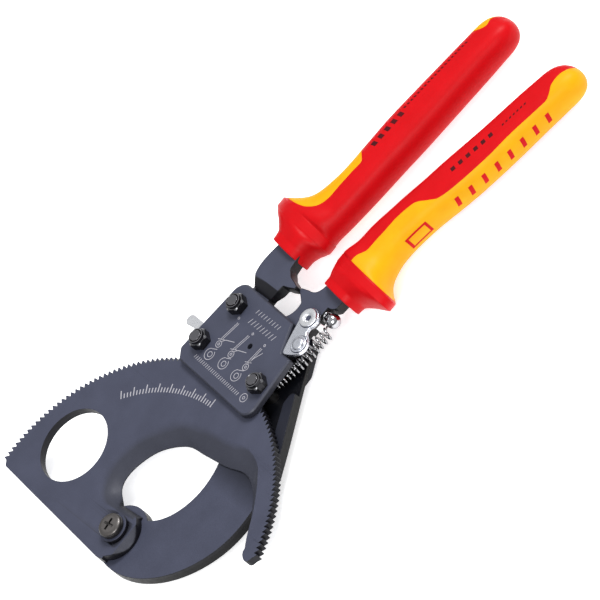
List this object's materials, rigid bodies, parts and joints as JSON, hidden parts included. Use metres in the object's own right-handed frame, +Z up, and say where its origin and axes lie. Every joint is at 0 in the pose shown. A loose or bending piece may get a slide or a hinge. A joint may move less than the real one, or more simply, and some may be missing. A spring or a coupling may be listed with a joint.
{
  "type": "ratchet cable cutter",
  "caption": "Ratchet cable cutter with a toothed moving blade, a curved fixed blade, pawls between cover plates and insulated two-colour grips.",
  "frame": {"origin": "on the blade pivot axis, on the surface that the tool lies on", "axes": "+Z up out of the tool's front face, +Y from the blades to the grips, +X to the fixed blade's side"},
  "size_m": [0.1532, 0.2773, 0.0274],
  "materials": {
    "blackened_steel": "blued and oiled steel, satin",
    "black_fastener": "black oxide, satin",
    "bright_zinc": "bright zinc plate",
    "hardened_steel": "ground steel",
    "spring_steel": "bright drawn wire",
    "polished_steel": "polished",
    "bronze": "sintered bronze",
    "red_insulation": "satin moulded",
    "yellow_insulation": "satin soft moulding"
  },
  "bodies": {
    "frame": {"fixed_blade": "blackened_steel", "front_cover_plate": "blackened_steel", "rear_cover_plate": "blackened_steel", "spacer_block": "blackened_steel", "cover_bolts": "black_fastener", "cover_nuts": "black_fastener", "bolt_sleeves": "hardened_steel", "pivot_bush": "bronze", "pivot_front_washer": "blackened_steel", "pivot_rear_washer": "blackened_steel", "pivot_lock_nut": "black_fastener", "pivot_screw": "black_fastener", "fixed_handle_shank": "blackened_steel", "fixed_handle_dowel": "hardened_steel", "handle_pivot_pin": "hardened_steel", "fixed_grip_core": "red_insulation", "fixed_grip_pad": "yellow_insulation", "retaining_pawl_spring": "spring_steel", "handle_spring": "spring_steel"},
    "moving_blade": {"moving_blade": "blackened_steel"},
    "moving_handle": {"moving_handle_shank": "blackened_steel", "moving_grip_core": "red_insulation", "moving_grip_pad": "yellow_insulation", "drive_pawl_pin": "hardened_steel", "drive_pawl_spring": "spring_steel", "lock_lever_rivet": "bright_zinc", "lock_lever_spacer": "hardened_steel", "spring_ball_stud": "polished_steel"},
    "drive_pawl": {"drive_pawl": "hardened_steel"},
    "retaining_pawl": {"retaining_pawl": "bright_zinc"},
    "lock_lever": {"lock_lever": "bright_zinc", "lock_lever_stud": "bright_zinc"}
  },
  "joints": [
    {"name": "blade_swing", "type": "hinge", "parent": "frame", "child": "moving_blade", "pos_m": [0, 0, 0.0135], "axis": [0, 0, 1], "range_deg": [-79.06, 79.06]},
    {"name": "handle_squeeze", "type": "hinge", "parent": "frame", "child": "moving_handle", "pos_m": [0.0095, 0.097, 0.0135], "axis": [0, 0, 1], "range_deg": [-25, 0], "deforming": ["handle_spring"]},
    {"name": "drive_pawl_swing", "type": "hinge", "parent": "moving_handle", "child": "drive_pawl", "pos_m": [-0.004, 0.0865, 0.0135], "axis": [0, 0, 1], "range_deg": [-5, 4], "deforming": ["drive_pawl_spring"]},
    {"name": "retaining_pawl_swing", "type": "hinge", "parent": "frame", "child": "retaining_pawl", "pos_m": [-0.0259, 0.0821, 0.0135], "axis": [0, 0, 1], "range_deg": [-5, 8], "deforming": ["retaining_pawl_spring"]},
    {"name": "lock_lever_swing", "type": "hinge", "parent": "moving_handle", "child": "lock_lever", "pos_m": [0.0146, 0.1162, 0.0179], "axis": [0, 0, 1], "range_deg": [0, 60]}
  ],
  "couplings": [
    {"joint": "lock_lever_swing", "follows": "handle_squeeze", "ratio": -2.4}
  ]
}
